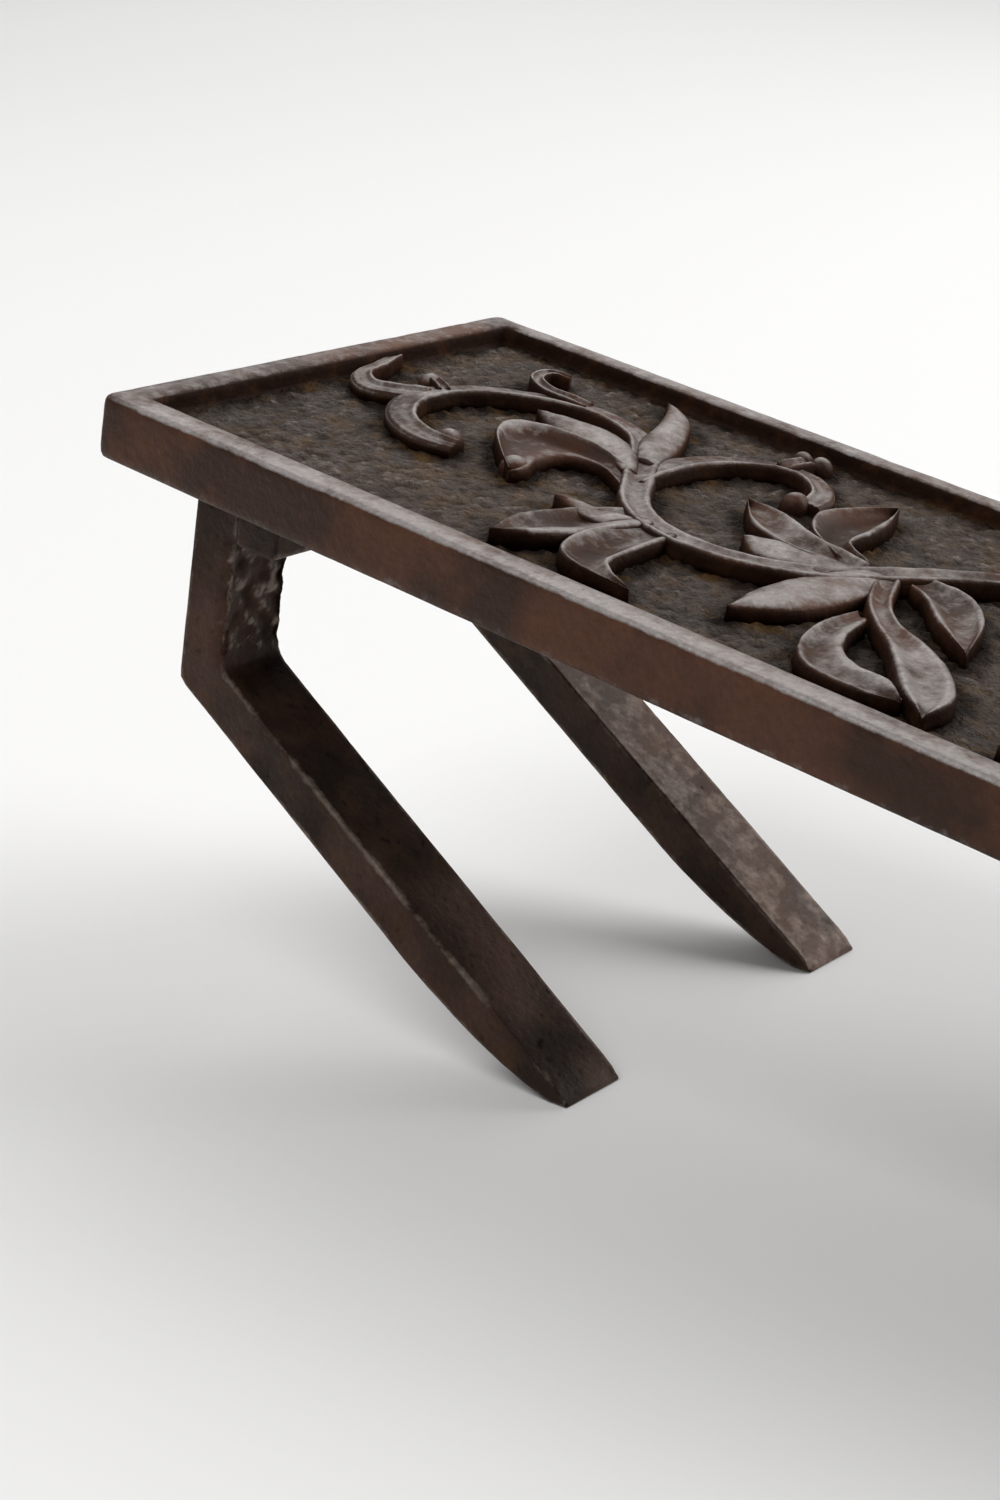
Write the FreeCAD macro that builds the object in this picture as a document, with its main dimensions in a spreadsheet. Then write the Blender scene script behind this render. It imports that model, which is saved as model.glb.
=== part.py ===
# Hook-on hearth trivet: a cast plate with scroll relief, carried by two forged
# prongs on a cross bar at its high end and by a staple-shaped foot at its low end.
#
# Everything is drawn in the plate's own frame (s along the plate from its high end,
# y across it, n up from the rim's top) and then tipped into the standing pose:
# +Z up, the floor at Z = 0, X along the plate, the origin under the middle of it.
import FreeCAD, Part
import os
import math
import Sketcher

V = FreeCAD.Vector
doc = FreeCAD.newDocument("hearth_trivet")

# ---------------------------------------------------------------- sheet of sizes
sheet = doc.addObject("Spreadsheet::Sheet", "Sizes")
SIZES = [
    ("plate_long", 250.0), ("plate_wide", 75.0), ("plate_thick", 8.1),
    ("rim_near", 4.6), ("rim_far", 3.2), ("rim_end", 4.0), ("recess_deep", 2.3),
    ("relief_high", 2.2), ("plate_tip", 10.5),
    ("bar_start", 18.1), ("bar_side", 6.4), ("side_inset", 6.5),
    ("prong_wide", 10.4), ("prong_face", 11.0), ("bend_deep", 34.6),
    ("tip_out", 78.6), ("tip_deep", 63.3),
    ("foot_start", 228.0), ("foot_wide", 13.0), ("foot_thick", 6.4), ("foot_round", 4.0),
    ("rivet_shank", 4.8), ("rivet_head", 8.4), ("rivet_dome", 2.2), ("rivet_blind", 3.0),
]
for row, (name, value) in enumerate(SIZES, start=1):
    sheet.set("A%d" % row, name)
    sheet.set("B%d" % row, str(value))
    sheet.setAlias("B%d" % row, name)
doc.recompute()
S = {name: value for name, value in SIZES}

# the standing pose, as formulas on the sheet
row = len(SIZES) + 1
for name, formula in [
    ("high_top", "=tip_out * sin(plate_tip * 1deg) + tip_deep * cos(plate_tip * 1deg)"),
    ("shift_x", "=(plate_thick * sin(plate_tip * 1deg) - plate_long * cos(plate_tip * 1deg)) / 2"),
    ("half_wide", "=plate_wide / 2"),
]:
    sheet.set("A%d" % row, name)
    sheet.set("B%d" % row, formula)
    sheet.setAlias("B%d" % row, name)
    row += 1
doc.recompute()
TIP = math.radians(S["plate_tip"])
HIGH = S["tip_out"] * math.sin(TIP) + S["tip_deep"] * math.cos(TIP)


def stand_up(obj):
    """Tip a finished part about the plate's cross axis and set it over the origin."""
    obj.setExpression("Placement.Base.x", "Sizes.shift_x * 1mm")
    obj.setExpression("Placement.Base.y", "-Sizes.half_wide * 1mm")
    obj.setExpression("Placement.Base.z", "Sizes.high_top * 1mm")
    obj.setExpression("Placement.Rotation.Axis.x", "0")
    obj.setExpression("Placement.Rotation.Axis.y", "1")
    obj.setExpression("Placement.Rotation.Axis.z", "0")
    obj.setExpression("Placement.Rotation.Angle", "Sizes.plate_tip * 1deg")


def floor_at(s):
    """Depth n of the floor under the plate, at distance s from the high end."""
    return (s * math.sin(TIP) - HIGH) / math.cos(TIP)


# ---------------------------------------------------------------- sketch helpers
def origin_plane(body, role):
    return [f for f in body.Origin.OriginFeatures if f.Role == role][0]


def body_sketch(body, role, name, offset=None):
    sk = body.newObject("Sketcher::SketchObject", name)
    sk.AttachmentSupport = [(origin_plane(body, role), "")]
    sk.MapMode = "FlatFace"
    if offset:
        sk.setExpression("AttachmentOffset.Base.z", offset)
    return sk


def polygon(sk, pts):
    """Closed polygon with its corners tied together."""
    first = sk.GeometryCount
    count = len(pts)
    for i in range(count):
        a, b = pts[i], pts[(i + 1) % count]
        sk.addGeometry(Part.LineSegment(V(a[0], a[1], 0), V(b[0], b[1], 0)), False)
    for i in range(count):
        j = (i + 1) % count
        sk.addConstraint(Sketcher.Constraint("Coincident", first + i, 2, first + j, 1))
    return first


def rectangle(sk, x0, y0, x1, y1, names):
    """Rectangle whose four sides are tied to formulas (left, low, right, high)."""
    first = polygon(sk, [(x0, y0), (x1, y0), (x1, y1), (x0, y1)])
    for i, kind in enumerate(["Horizontal", "Vertical", "Horizontal", "Vertical"]):
        sk.addConstraint(Sketcher.Constraint(kind, first + i))
    for kind, point, value, formula in [
        ("DistanceX", 1, x0, names[0]), ("DistanceY", 1, y0, names[1]),
        ("DistanceX", 2, x1, names[2]), ("DistanceY", 3, y1, names[3]),
    ]:
        line = first + 1 if point == 3 else first
        end = 2 if point in (2, 3) else 1
        if abs(value) < 1e-9:
            axis = -2 if kind == "DistanceX" else -1
            sk.addConstraint(Sketcher.Constraint("PointOnObject", line, end, axis))
        else:
            n = sk.addConstraint(Sketcher.Constraint(kind, -1, 1, line, end, value))
            sk.setExpression("Constraints[%d]" % n, formula)


def volume(obj):
    return obj.Shape.Volume


# ---------------------------------------------------------------- the ornament, in plan
# Stems: (points along the middle line, widths at those points). Half of the panel;
# the other half is its mirror image about the middle of the plate.
STEMS = {
    "trunk": ([(47.5, 46), (52.5, 38), (57, 31.6), (63, 27.6), (70, 26.8), (77, 29),
               (83, 34), (87, 40), (92, 47), (98, 53), (105, 56.5), (111.5, 56),
               (115.5, 51.5), (114.8, 46.5), (111, 44.4)],
              [4.4, 4.2, 4, 4, 4, 4, 4.2, 4.4, 4.2, 3.8, 3.6, 3.4, 3, 2.6, 2.2]),
    "high_scroll": ([(50.6, 42), (50.8, 50), (53.4, 56), (58, 60.4), (63, 60.4),
                     (67, 56.6), (68, 52.6)], [5, 4.8, 4.6, 4.2, 3.8, 3.2, 2.4]),
    "low_scroll": ([(47, 47), (42, 52.6), (35, 55.4), (28, 54.4), (21.6, 50), (17.6, 43.6),
                    (17.6, 36.6), (21.4, 30.4), (27, 27.4), (32, 28.2)],
                   [4, 4, 4.2, 4.4, 4.6, 4.8, 4.4, 3.8, 3.2, 2.2]),
    "hook_curl": ([(31, 56), (25, 55.6), (20.8, 58), (20, 61.4), (22.6, 63)],
                  [2.4, 2.2, 2, 1.9, 1.6]),
    "end_tendril": ([(4.4, 48.4), (6.2, 43.4), (7.6, 38.4), (11.4, 35.6), (15.4, 38), (17.4, 41)],
                    [2.2, 2.7, 2.8, 2.8, 2.8, 2.6]),
    "pear_lobe": ([(87.6, 39), (91.4, 31), (95.6, 26), (100.6, 22.4), (105, 18), (108.6, 13),
                   (111, 8)], [3, 3, 3.2, 5, 6.4, 5.2, 1.6]),
    "knob_neck": ([(58.6, 60.4), (59.4, 65)], [2.6, 2.4]),
    "bead_neck": ([(17.6, 43), (14.2, 44.8)], [1.8, 1.6]),
}
# Leaves: (one edge from root to tip, other edge from root to tip)
LEAVES = {
    "spear_up": ([(47, 45), (43, 51), (40.4, 58), (37.6, 64), (35.6, 67)],
                 [(50, 45), (48, 52), (45, 58.6), (41, 64), (35.6, 67)]),
    "blade_in": ([(50.5, 40.6), (46.6, 46), (41.6, 49.6), (35.6, 50.2), (29, 47.8)],
                 [(48.6, 40), (44.6, 42.4), (39, 43.4), (34, 44.6), (29, 47.8)]),
    "trumpet": ([(49.5, 41), (42, 43.8), (34.6, 44), (30.2, 41.2), (31.6, 36.4), (36, 31.6),
                 (41.4, 27)],
                [(53, 34.6), (47.4, 38.4), (43.4, 38.6), (41.2, 36.4), (41, 33), (42.2, 29.6),
                 (41.4, 27)]),
    "fan_left": ([(57, 26.4), (53.2, 22), (52, 15.4), (53.4, 8.8)],
                 [(62, 26.4), (60.4, 19.4), (58.2, 13), (53.4, 8.8)]),
    "fan_top": ([(60, 26.6), (55, 26.2), (50.2, 24.6)], [(59, 23), (55, 23), (50.2, 24.6)]),
    "fan_right": ([(59, 25.6), (60.4, 17.4), (63, 10), (69, 8.4)],
                  [(66, 25.6), (66.6, 18.4), (68.4, 13), (69, 8.4)]),
    "inner_high": ([(84, 41), (76.4, 42), (69.6, 45), (63.2, 45.8)],
                   [(83, 36), (75, 36.4), (68.4, 39), (63.2, 45.8)]),
    "inner_low": ([(84, 38.4), (77.4, 38.4), (73, 37), (70.4, 34.4)],
                  [(83, 33), (78, 31.8), (73.4, 31.8), (70.4, 34.4)]),
    "fold_leaf": ([(80, 39.6), (74, 43.6), (70.9, 49.6), (72.6, 55), (75.4, 61)],
                  [(84, 41), (79.4, 44), (78.8, 50.4), (77.6, 56), (75.4, 61)]),
    "spear_down": ([(84, 39), (81.6, 31), (80.8, 22), (82.2, 14.4)],
                   [(89, 39), (89, 31), (87.2, 21.6), (82.2, 14.4)]),
    "side_leaf": ([(90, 43.4), (97, 42), (102, 36), (105, 27)],
                  [(90.5, 39), (94, 36.4), (98.6, 31.6), (105, 27)]),
    "pear_leaf": ([(92, 28), (90.6, 21), (92.6, 13), (97, 8.2), (104.6, 9.4)],
                  [(96, 25), (95.6, 20), (98, 15.6), (101, 12.4), (104.6, 9.4)]),
}
BEADS = [(66, 52.4, 2.1), (29.6, 30.4, 2.2), (59.6, 66, 2.3), (13.6, 45, 1.9),
         (110.6, 46.6, 2.1)]
# The middle motif sits on the mirror line and is drawn once.
MIDDLE = {
    "middle_spear": ([(122, 22), (118.6, 34), (119.6, 48), (125, 66)],
                     [(128, 22), (131.4, 34), (130.4, 48), (125, 66)]),
    "middle_foot": ([(119, 9.6), (121.6, 17), (122.4, 24), (125, 27)],
                    [(131, 9.6), (128.4, 17), (127.6, 24), (125, 27)]),
}


def edge_curve(pts):
    """A smooth edge through the points, or a straight one where there are only two."""
    pts = [V(p[0], p[1], 0) for p in pts]
    if len(pts) == 2:
        return Part.LineSegment(pts[0], pts[1])
    curve = Part.BSplineCurve()
    curve.interpolate(pts)
    return curve


def ribbon_edges(mid, widths):
    """Both edges of a stem: its middle line pushed out by half of its width."""
    left, right = [], []
    for i, p in enumerate(mid):
        a = mid[max(i - 1, 0)]
        b = mid[min(i + 1, len(mid) - 1)]
        dx, dy = b[0] - a[0], b[1] - a[1]
        size = math.hypot(dx, dy)
        nx, ny = -dy / size * widths[i] / 2, dx / size * widths[i] / 2
        left.append((p[0] + nx, p[1] + ny))
        right.append((p[0] - nx, p[1] - ny))
    return left, right


def outline_sketch(name, left, right):
    """Sketch of one closed outline made of two edges and, where they are apart, end lines."""
    sk = doc.addObject("Sketcher::SketchObject", name + "_outline")
    sk.addGeometry(edge_curve(left), False)
    sk.addGeometry(edge_curve(right), False)
    for end in (0, -1):
        a, b = left[end], right[end]
        if math.hypot(a[0] - b[0], a[1] - b[1]) > 1e-6:
            sk.addGeometry(Part.LineSegment(V(a[0], a[1], 0), V(b[0], b[1], 0)), False)
    sk.Placement = FreeCAD.Placement(V(0, 0, 0), FreeCAD.Rotation())
    sk.setExpression("Placement.Base.z", "-Sizes.recess_deep * 1mm - 0.4mm")
    return sk


def raised(name, sk):
    """The outline pulled up from just under the recess floor to the relief's top."""
    up = doc.addObject("Part::Extrusion", name)
    up.Base = sk
    up.DirMode = "Custom"
    up.Dir = V(0, 0, 1)
    up.Solid = True
    up.setExpression("LengthFwd", "Sizes.relief_high * 1mm + 0.4mm")
    return up


half = []
for name, (mid, widths) in STEMS.items():
    half.append(raised(name, outline_sketch(name, *ribbon_edges(mid, widths))))
for name, (left, right) in LEAVES.items():
    half.append(raised(name, outline_sketch(name, left, right)))
for i, (x, y, r) in enumerate(BEADS):
    bead = doc.addObject("Part::Cylinder", "bead_%d" % i)
    bead.Radius = r
    bead.Placement = FreeCAD.Placement(V(x, y, 0), FreeCAD.Rotation())
    bead.setExpression("Placement.Base.z", "-Sizes.recess_deep * 1mm - 0.4mm")
    bead.setExpression("Height", "Sizes.relief_high * 1mm + 0.4mm")
    half.append(bead)
doc.recompute()

half_relief = doc.addObject("Part::MultiFuse", "half_relief")
half_relief.Shapes = half
mirrored = doc.addObject("Part::Mirroring", "mirrored_relief")
mirrored.Source = half_relief
mirrored.Normal = V(1, 0, 0)
mirrored.setExpression("Base.x", "Sizes.plate_long / 2 * 1mm")
middle = [raised(name, outline_sketch(name, left, right)) for name, (left, right) in MIDDLE.items()]
doc.recompute()

# ---------------------------------------------------------------- top plate
blank = doc.addObject("PartDesign::Body", "plate_blank")
sk = body_sketch(blank, "XY_Plane", "plate_outline", "-Sizes.plate_thick * 1mm")
rectangle(sk, 0, 0, S["plate_long"], S["plate_wide"],
          ["0", "0", "Sizes.plate_long * 1mm", "Sizes.plate_wide * 1mm"])
pad = blank.newObject("PartDesign::Pad", "plate_slab")
pad.Profile = sk
pad.setExpression("Length", "Sizes.plate_thick * 1mm")
doc.recompute()
slab_volume = volume(blank)
sk = body_sketch(blank, "XY_Plane", "recess_outline")
rectangle(sk, S["rim_end"], S["rim_near"], S["plate_long"] - S["rim_end"],
          S["plate_wide"] - S["rim_far"],
          ["Sizes.rim_end * 1mm", "Sizes.rim_near * 1mm",
           "(Sizes.plate_long - Sizes.rim_end) * 1mm",
           "(Sizes.plate_wide - Sizes.rim_far) * 1mm"])
recess = blank.newObject("PartDesign::Pocket", "recess")
recess.Profile = sk
recess.setExpression("Length", "Sizes.recess_deep * 1mm")
doc.recompute()
if volume(blank) > slab_volume - 1:
    recess.Reversed = True
    doc.recompute()
assert volume(blank) < slab_volume - 1000, "the recess was not cut"

casting = doc.addObject("Part::MultiFuse", "plate_casting")
casting.Shapes = [blank, half_relief, mirrored] + middle
doc.recompute()

# ---------------------------------------------------------------- cross bar
bar_stock = doc.addObject("Part::Box", "cross_bar_stock")
bar_stock.setExpression("Length", "Sizes.bar_side * 1mm")
bar_stock.setExpression("Width", "(Sizes.plate_wide - 2 * Sizes.side_inset) * 1mm")
bar_stock.setExpression("Height", "Sizes.bar_side * 1mm")
bar_stock.setExpression("Placement.Base.x", "Sizes.bar_start * 1mm")
bar_stock.setExpression("Placement.Base.y", "Sizes.side_inset * 1mm")
bar_stock.setExpression("Placement.Base.z", "(-Sizes.plate_thick - Sizes.bar_side) * 1mm")
doc.recompute()

# ---------------------------------------------------------------- the two prongs
# Side view of a prong: straight down from the plate, a sharp bend, then a long arm
# whose underside curves up into a chisel tip.
ARM_END = (52.0, -55.9)
UNDERSIDE = [ARM_END, (60.2, -59.6), (68.5, -62.3), (75.4, -63.7)]
TIP_LOW = (S["tip_out"], -S["tip_deep"])
TIP_HIGH = (78.0, -62.3)
INNER_BEND = (18.2, -31.2)


def make_prong(label, y_formula):
    body = doc.addObject("PartDesign::Body", label)
    sk = body_sketch(body, "XZ_Plane", label + "_side_view")
    top = -S["plate_thick"]
    outer_bend = (S["prong_face"], -S["bend_deep"])
    chain = [(S["prong_face"], top), outer_bend, ARM_END]
    for a, b in zip(chain, chain[1:]):
        sk.addGeometry(Part.LineSegment(V(a[0], a[1], 0), V(b[0], b[1], 0)), False)
    under = Part.BSplineCurve()
    under.interpolate([V(p[0], p[1], 0) for p in UNDERSIDE])
    sk.addGeometry(under, False)
    chain = [UNDERSIDE[-1], TIP_LOW, TIP_HIGH, INNER_BEND, (S["bar_start"], top),
             (S["prong_face"], top)]
    for a, b in zip(chain, chain[1:]):
        sk.addGeometry(Part.LineSegment(V(a[0], a[1], 0), V(b[0], b[1], 0)), False)
    count = sk.GeometryCount
    for i in range(count):
        sk.addConstraint(Sketcher.Constraint("Coincident", i, 2, (i + 1) % count, 1))
    pad = body.newObject("PartDesign::Pad", label + "_bar")
    pad.Profile = sk
    pad.setExpression("Length", "Sizes.prong_wide * 1mm")
    pad.Reversed = True
    doc.recompute()
    if body.Shape.BoundBox.YMin < -1:
        pad.Reversed = False
    stand_up(body)
    body.setExpression("Placement.Base.y", y_formula)
    doc.recompute()
    return body


prong_near = make_prong("prong_near", "(Sizes.side_inset - Sizes.half_wide) * 1mm")
prong_far = make_prong("prong_far",
                       "(Sizes.half_wide - Sizes.side_inset - Sizes.prong_wide) * 1mm")

# ---------------------------------------------------------------- low-end foot
foot = doc.addObject("PartDesign::Body", "foot_stock")
sk = body_sketch(foot, "XZ_Plane", "foot_side_view")
s0, s1 = S["foot_start"], S["foot_start"] + S["foot_wide"]
polygon(sk, [(s0, -S["plate_thick"]), (s0, floor_at(s0)), (s1, floor_at(s1)),
             (s1, -S["plate_thick"])])
pad = foot.newObject("PartDesign::Pad", "foot_block")
pad.Profile = sk
pad.setExpression("Length", "(Sizes.plate_wide - 2 * Sizes.side_inset) * 1mm")
pad.Reversed = True
doc.recompute()
if foot.Shape.BoundBox.YMin < -1:
    pad.Reversed = False
    doc.recompute()
block_volume = volume(foot)
sk = body_sketch(foot, "YZ_Plane", "foot_gap")
gap_low, gap_high = -60.0, -S["plate_thick"] - S["foot_thick"]
gap_far = S["plate_wide"] - 2 * S["side_inset"] - S["foot_thick"]
polygon(sk, [(S["foot_thick"], gap_low), (gap_far, gap_low), (gap_far, gap_high),
             (S["foot_thick"], gap_high)])
gap = foot.newObject("PartDesign::Pocket", "foot_opening")
gap.Profile = sk
gap.Type = 1
doc.recompute()
if volume(foot) > block_volume - 10:
    gap.Reversed = True
    doc.recompute()
assert volume(foot) < block_volume - 1000, "the foot's opening was not cut"
# the outside corners of the bend are round, as a bent bar leaves them
bends = []
for i, edge in enumerate(gap.Shape.Edges):
    box = edge.BoundBox
    along_s = box.XLength > 0.9 * S["foot_wide"] and box.YLength < 1e-6 and box.ZLength < 1e-6
    if along_s and abs(box.ZMax + S["plate_thick"]) < 1e-6:
        bends.append("Edge%d" % (i + 1))
rounding = foot.newObject("PartDesign::Fillet", "foot_bends")
rounding.Base = (gap, bends)
rounding.setExpression("Radius", "Sizes.foot_round * 1mm")
doc.recompute()
foot.setExpression("Placement.Base.y", "Sizes.side_inset * 1mm")
doc.recompute()

# ---------------------------------------------------------------- rivets
RIVET_S = [S["bar_start"] + S["bar_side"] / 2, S["foot_start"] + S["foot_wide"] / 2]
RIVET_Y = [24.0, S["plate_wide"] - 24.0]
UNDER = -S["plate_thick"] - S["bar_side"]
rivets = []
for i, s in enumerate(RIVET_S):
    for j, y in enumerate(RIVET_Y):
        tag = "%d%d" % (i, j)
        shank = doc.addObject("Part::Cylinder", "rivet_shank_" + tag)
        shank.setExpression("Radius", "Sizes.rivet_shank / 2 * 1mm")
        shank.setExpression("Height", "(Sizes.bar_side + Sizes.rivet_blind) * 1mm")
        shank.Placement = FreeCAD.Placement(V(s, y, UNDER), FreeCAD.Rotation())
        dome = doc.addObject("Part::Sphere", "rivet_dome_" + tag)
        cap, rise = S["rivet_head"] / 2, S["rivet_dome"]
        ball = (cap * cap + rise * rise) / (2 * rise)
        dome.Radius = ball
        dome.Placement = FreeCAD.Placement(V(s, y, UNDER + ball - rise), FreeCAD.Rotation())
        trim = doc.addObject("Part::Box", "rivet_trim_" + tag)
        trim.Length = trim.Width = trim.Height = 4 * ball
        trim.Placement = FreeCAD.Placement(V(s - 2 * ball, y - 2 * ball, UNDER), FreeCAD.Rotation())
        head = doc.addObject("Part::Cut", "rivet_head_" + tag)
        head.Base = dome
        head.Tool = trim
        one = doc.addObject("Part::Fuse", "rivet_" + tag)
        one.Base = shank
        one.Tool = head
        rivets.append(one)
doc.recompute()


def drilled(label, stock, shanks):
    """The stock with the rivets' holes in it, tipped into the standing pose."""
    holes = doc.addObject("Part::Compound", label + "_holes")
    holes.Links = shanks
    cut = doc.addObject("Part::Cut", label)
    cut.Base = stock
    cut.Tool = holes
    stand_up(cut)
    return cut


all_shanks = [o for o in doc.Objects if o.Name.startswith("rivet_shank_")]
top_plate = drilled("top_plate", casting, all_shanks)
cross_bar = drilled("cross_bar", bar_stock, all_shanks[:2])
foot_strap = drilled("foot_strap", foot, all_shanks[2:])
fixings = doc.addObject("Part::Compound", "rivets")
fixings.Links = rivets
stand_up(fixings)
doc.recompute()

# ---------------------------------------------------------------- checks and output
NODES = {
    "top_plate": top_plate, "cross_bar": cross_bar, "prong_near": prong_near,
    "prong_far": prong_far, "foot_strap": foot_strap, "rivets": fixings,
}
for obj in doc.Objects:
    bad = [word for word in obj.State if word in ("Invalid", "Error")]
    if bad:
        raise SystemExit("%s is %s" % (obj.Name, bad))
os.makedirs("parts", exist_ok=True)
for name, obj in NODES.items():
    obj.Label = name
    shape = obj.Shape
    if shape.isNull() or not shape.isValid() or not shape.Solids:
        raise SystemExit("%s has no valid solid" % name)
    shape.exportStep("parts/%s.step" % name)
    box = shape.BoundBox
    print("%-11s solids %d  volume %9.1f  X %7.2f..%7.2f  Y %6.2f..%6.2f  Z %6.2f..%6.2f" % (
        name, len(shape.Solids), shape.Volume, box.XMin, box.XMax, box.YMin, box.YMax,
        box.ZMin, box.ZMax))
print("high corner %.3f mm above the floor" % HIGH)
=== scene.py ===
# %% [markdown]
# # A hook-on hearth trivet in cast and forged iron
# The object is a long rimmed plate, cast in one piece with scrolls and leaves in relief.
# Two forged prongs on a cross bar hold its high end up, and a bent strap is the low foot.
# The imported model gives every size and place; this lesson gives the pieces their real
# surfaces. It starts by loading that frame and keeping its box, from which the plate's place is
# taken later.

# %% Load the frame
import math
from functools import partial

import bmesh
import bpy
from mathutils import Matrix, Vector, kdtree, noise


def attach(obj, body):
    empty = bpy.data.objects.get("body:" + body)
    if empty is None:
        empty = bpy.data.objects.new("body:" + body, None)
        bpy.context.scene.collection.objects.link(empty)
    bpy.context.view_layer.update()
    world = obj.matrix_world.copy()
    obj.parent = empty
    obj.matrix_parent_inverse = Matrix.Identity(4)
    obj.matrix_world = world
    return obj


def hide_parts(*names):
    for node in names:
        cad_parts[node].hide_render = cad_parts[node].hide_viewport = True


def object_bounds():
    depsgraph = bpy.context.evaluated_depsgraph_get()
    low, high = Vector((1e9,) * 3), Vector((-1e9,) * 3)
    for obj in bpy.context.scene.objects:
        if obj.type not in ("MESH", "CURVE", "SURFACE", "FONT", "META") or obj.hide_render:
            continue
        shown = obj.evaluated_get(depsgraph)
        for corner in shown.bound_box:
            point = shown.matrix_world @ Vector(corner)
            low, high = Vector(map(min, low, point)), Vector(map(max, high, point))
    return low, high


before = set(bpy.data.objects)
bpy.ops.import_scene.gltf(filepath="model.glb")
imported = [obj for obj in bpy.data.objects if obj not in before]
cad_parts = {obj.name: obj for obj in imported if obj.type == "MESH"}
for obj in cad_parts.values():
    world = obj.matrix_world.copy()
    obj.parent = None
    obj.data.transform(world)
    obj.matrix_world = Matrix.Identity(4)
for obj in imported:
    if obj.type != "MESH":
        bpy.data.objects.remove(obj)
cad_low, cad_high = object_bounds()
print("nodes:", sorted(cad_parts))
print("box of the frame, mm:", [round(1000 * (b - a), 1) for a, b in zip(cad_low, cad_high)])

# %% [markdown]
# ## The plate's own frame
# The plate stands tipped, which makes its shapes awkward to write down. It is easier to work
# as the pattern maker did, on a flat board: s runs along the plate from its high end, y across
# it from the near side, and n up from the top of the rim, all in millimetres. One matrix then
# tips the finished work into the standing pose. Only the mesh is moved by it, so every
# object stays at the origin, unturned.

# %% The flat board and the matrix that stands it up
LONG, WIDE, THICK = 250.0, 75.0, 8.1
TIP = math.radians(10.5)
RIM = {"near": 4.6, "far": 3.2, "end": 4.0}
GROUND = -2.3          # the recess floor, below the rim's top
TOP = -0.12            # the tops of the relief, almost level with the rim

start_x = cad_low.x * 1000 + THICK * math.sin(TIP)
STAND = (Matrix.Scale(0.001, 4)
         @ Matrix.Translation((start_x, -WIDE / 2, cad_high.z * 1000))
         @ Matrix.Rotation(TIP, 4, "Y"))
print("high corner of the board stands at", [round(v * 1000, 2) for v in STAND @ Vector((0, 0, 0))])


# %% [markdown]
# ## From lists of points to a piece
# Each piece is a mesh made from points and faces on the flat board. Two numbers are kept at
# every point for the finish to read: `rub_and_sheen`, how much hands and pots have polished the
# place, and on the far prong also a painted highlight, and `dirt`, painted shade in
# hollows, corners, on sides that do not face up and on the near prong, with the dust that lies
# there. They follow the surface, so the pattern of wear and painted shade belongs to the metal
# and not to the camera.

# %% Helper: make a piece
def wear_and_shade_layers(mesh):
    """The rub_and_sheen and dirt layers of every point, made where they are missing."""
    for label in ("rub_and_sheen", "dirt"):
        if label not in mesh.attributes:
            mesh.attributes.new(label, "FLOAT", "POINT")
    return mesh.attributes["rub_and_sheen"].data, mesh.attributes["dirt"].data


def placed(name, data):
    """A new object at the origin, linked into the scene."""
    thing = bpy.data.objects.new(name, data)
    bpy.context.scene.collection.objects.link(thing)
    return thing


def new_piece(name, points, faces, rub_and_sheen=None, dirt=None, stand=True):
    mesh = bpy.data.meshes.new(name)
    mesh.from_pydata([tuple(p) for p in points], [], faces)
    mesh.validate()
    for layer, values in zip(wear_and_shade_layers(mesh), (rub_and_sheen, dirt)):
        if values is not None:
            layer.foreach_set("value", values)
    if stand:
        mesh.transform(STAND)
    return placed(name, mesh)


def finish_piece(piece, material, nodes=()):
    """Give a finished piece its surface, its body and the CAD nodes it stands for."""
    for poly in piece.data.polygons:
        poly.use_smooth = True
    piece.data.materials.clear()
    piece.data.materials.append(material)
    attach(piece, "root")
    if nodes:
        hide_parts(*nodes)
    tris = sum(len(p.vertices) - 2 for p in piece.data.polygons)
    print("%-16s %7d triangles" % (piece.name, tris))


def clamp(value, low=0.0, high=1.0):
    return max(low, min(high, value))


def speckle(p, size, *shift):
    """Smooth noise at place p in lumps about `size` across; shift picks another pattern."""
    return noise.noise(Vector(p) / size + Vector(shift or (0, 0, 0)))


def settle(p, size, amount, seed=0.0):
    """A smooth wander of the surface at place p, from -amount to +amount."""
    return amount * speckle(p, size, seed, 2.7 * seed, 5.1)


def stitched(rows, around, first=0):
    """Quads between the rows of points round a shape, and a face on each end."""
    faces = []
    for k in range(rows - 1):
        a = first + k * around
        b = a + around
        for i in range(around):
            j = (i + 1) % around
            faces.append((a + i, a + j, b + j, b + i))
    last = first + (rows - 1) * around
    faces.append(tuple(first + i for i in reversed(range(around))))
    faces.append(tuple(last + i for i in range(around)))
    return faces


# %% [markdown]
# ## Smooth paths
# The pattern maker cut the scrolls along flowing lines. A few given points and a Catmull-Rom
# curve through them give such a line; the same routine serves the middle line and the width of
# a stem and the two edges of a leaf.

# %% Helper: a smooth path through a few points
def smooth_path(points, count):
    pts = [Vector(p) for p in points]
    ends = [2 * pts[0] - pts[1]] + pts + [2 * pts[-1] - pts[-2]]
    out = []
    for k in range(count):
        u = k / (count - 1) * (len(pts) - 1)
        i = min(int(u), len(pts) - 2)
        t = u - i
        a, b, c, d = ends[i:i + 4]
        out.append(0.5 * ((2 * b) + (c - a) * t + (2 * a - 5 * b + 4 * c - d) * t * t
                          + (3 * b - 3 * c + d - a) * t ** 3))
    return out


def flat(points):
    return [Vector((*p, 0)) for p in points]


def path_length(points):
    return sum((b - a).length for a, b in zip(points, points[1:]))
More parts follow.
